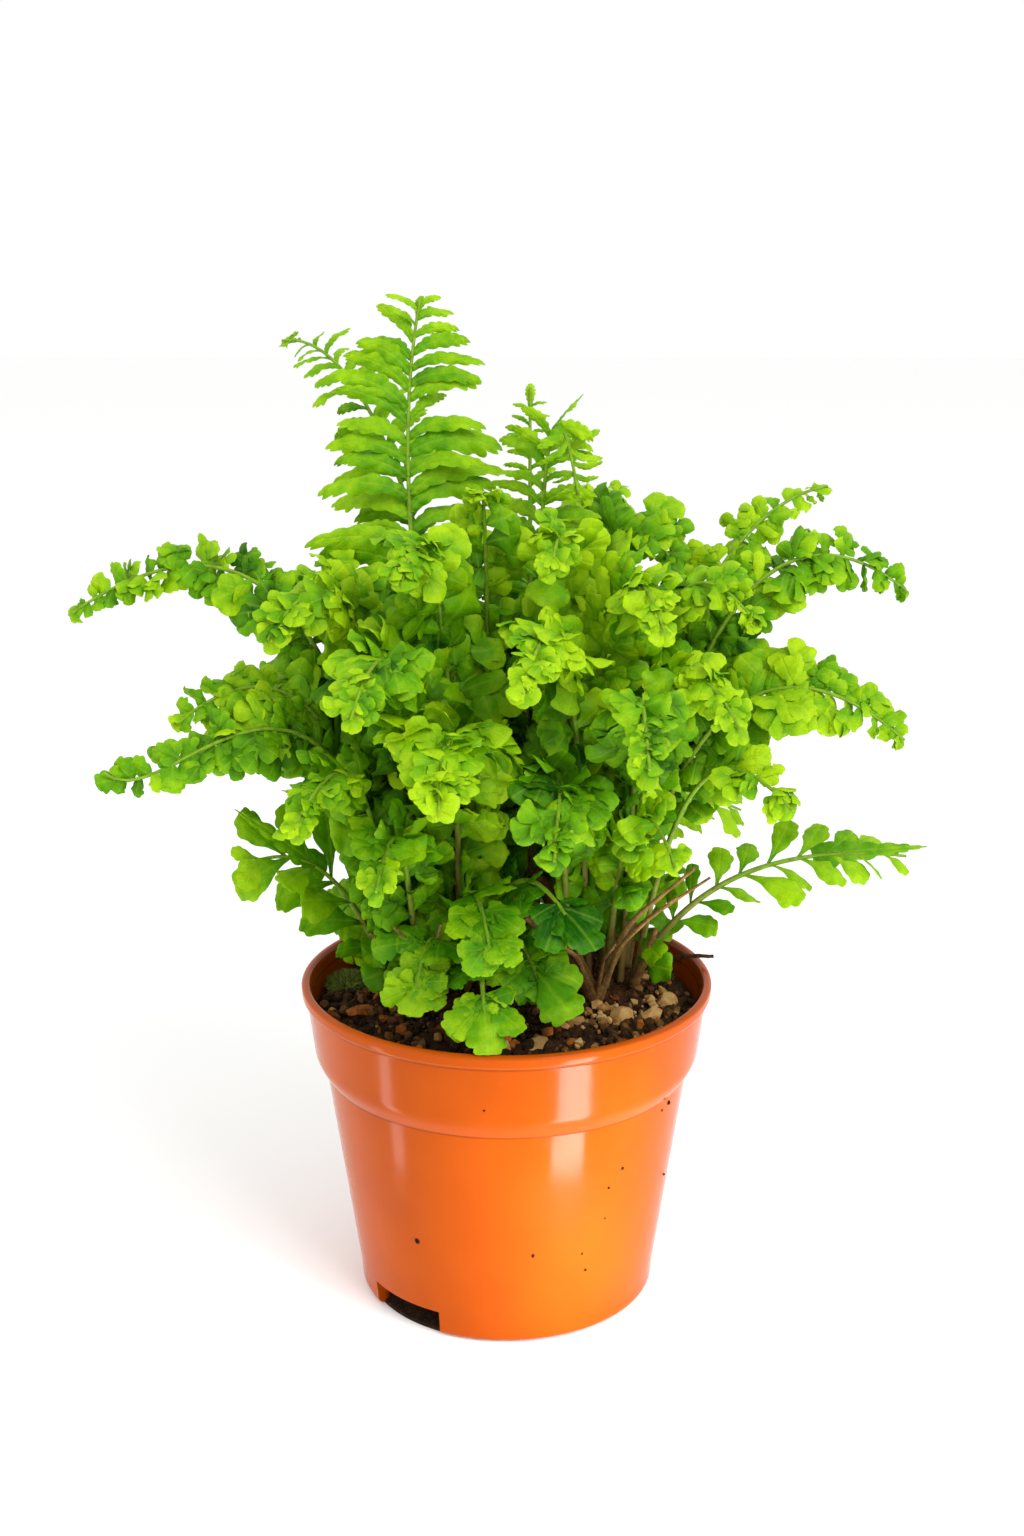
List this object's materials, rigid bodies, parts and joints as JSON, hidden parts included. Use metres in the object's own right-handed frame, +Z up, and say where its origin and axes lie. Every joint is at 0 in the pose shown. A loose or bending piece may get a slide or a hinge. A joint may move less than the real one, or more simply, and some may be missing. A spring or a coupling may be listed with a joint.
{
  "type": "potted fern",
  "caption": "Ruffled Boston fern with arching, curly-leafed fronds, growing in a round tapered plastic nursery pot with a wide collar and drain notches.",
  "frame": {"origin": "centre of the pot's underside, on the surface it stands on", "axes": "+Z up along the pot's axis; the side shown to the viewer looks along -Y; the longest fronds reach out along -X and +X"},
  "size_m": [0.239, 0.19, 0.289],
  "materials": {
    "pot_plastic": "moulded orange polypropylene, satin gloss, lightly scuffed",
    "potting_mix": "moist dark peat with fine bark and grit, crumbly",
    "crown_wood": "rough fibrous crown",
    "gravel": "dry angular grit, matt",
    "bark": "rough bark chip, matt",
    "moss": "short soft moss",
    "dry_stalk": "dry stripped stalk",
    "leaf_fresh": "thin fresh leaf, satin, lets light through",
    "leaf_deep": "thin leaf, satin, lets light through"
  },
  "bodies": {
    "root": {"pot": "pot_plastic", "potting_mix": "potting_mix", "crown_right": "crown_wood", "crown_left": "crown_wood", "crown_back": "crown_wood", "gravel_1": "gravel", "gravel_2": "gravel", "gravel_3": "gravel", "gravel_4": "gravel", "bark_chip": "bark", "moss_patch": "moss", "old_stalk_1": "dry_stalk", "old_stalk_2": "dry_stalk", "fallen_twig": "dry_stalk", "tall_frond_1": "leaf_deep", "tall_frond_2": "leaf_deep", "tall_frond_3": "leaf_deep", "tall_frond_4": "leaf_deep", "long_frond_1": "leaf_fresh", "long_frond_2": "leaf_fresh", "long_frond_3": "leaf_fresh", "long_frond_4": "leaf_fresh", "long_frond_5": "leaf_fresh", "long_frond_6": "leaf_fresh", "low_frond_1": "leaf_deep", "low_frond_2": "leaf_deep", "low_frond_3": "leaf_deep", "low_frond_4": "leaf_deep", "young_frond_1": "leaf_fresh", "young_frond_2": "leaf_fresh", "young_frond_3": "leaf_fresh", "young_frond_4": "leaf_fresh", "young_frond_5": "leaf_fresh", "young_frond_6": "leaf_fresh", "ruffled_frond_1": "leaf_fresh", "ruffled_frond_2": "leaf_fresh", "ruffled_frond_3": "leaf_fresh", "ruffled_frond_4": "leaf_fresh", "ruffled_frond_5": "leaf_fresh", "ruffled_frond_6": "leaf_fresh", "ruffled_frond_7": "leaf_fresh", "ruffled_frond_8": "leaf_fresh", "ruffled_frond_9": "leaf_fresh", "ruffled_frond_10": "leaf_fresh", "ruffled_frond_11": "leaf_fresh", "ruffled_frond_12": "leaf_fresh", "ruffled_frond_13": "leaf_fresh", "ruffled_frond_14": "leaf_fresh", "ruffled_frond_15": "leaf_fresh", "ruffled_frond_16": "leaf_fresh", "ruffled_frond_17": "leaf_fresh", "ruffled_frond_18": "leaf_fresh", "ruffled_frond_19": "leaf_fresh", "ruffled_frond_20": "leaf_fresh", "ruffled_frond_21": "leaf_fresh", "ruffled_frond_22": "leaf_fresh", "ruffled_frond_23": "leaf_fresh", "ruffled_frond_24": "leaf_fresh", "ruffled_frond_25": "leaf_fresh", "ruffled_frond_26": "leaf_fresh"}
  },
  "joints": []
}
